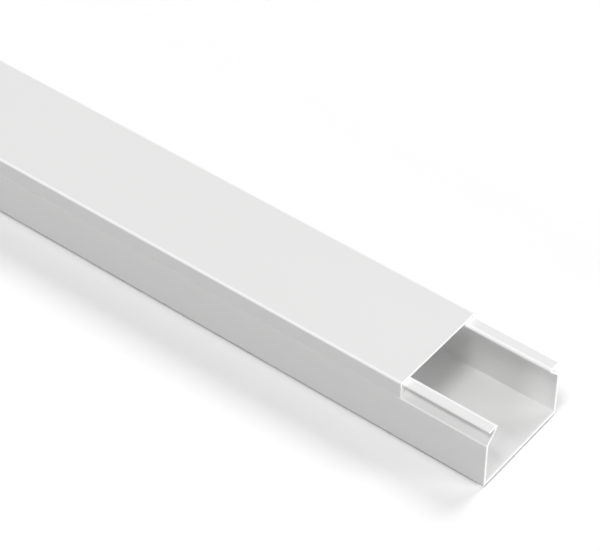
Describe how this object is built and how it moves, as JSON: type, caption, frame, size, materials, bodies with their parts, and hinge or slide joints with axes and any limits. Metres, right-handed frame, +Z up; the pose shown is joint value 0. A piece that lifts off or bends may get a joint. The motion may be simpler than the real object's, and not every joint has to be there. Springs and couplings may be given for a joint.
{
  "type": "cable trunking",
  "caption": "Straight U-shaped PVC cable trunking with solid walls and folded lips, closed by a clip-over cover that slides along it.",
  "frame": {"origin": "centre of the base's underside, midway along its length and width", "axes": "+X along the length towards the open end, where the cover is set back; +Y across the width; +Z up, out through the cover"},
  "size_m": [2.033, 0.04, 0.025],
  "materials": {
    "base_pvc": "satin extruded white PVC",
    "cover_pvc": "satin extruded white PVC"
  },
  "bodies": {
    "base": {"trunking_base": "base_pvc"},
    "cover": {"trunking_cover": "cover_pvc"}
  },
  "joints": [
    {"name": "cover_slide", "type": "slide", "parent": "base", "child": "cover", "axis": [1, 0, 0], "range_m": [-0.467, 0.033]}
  ]
}
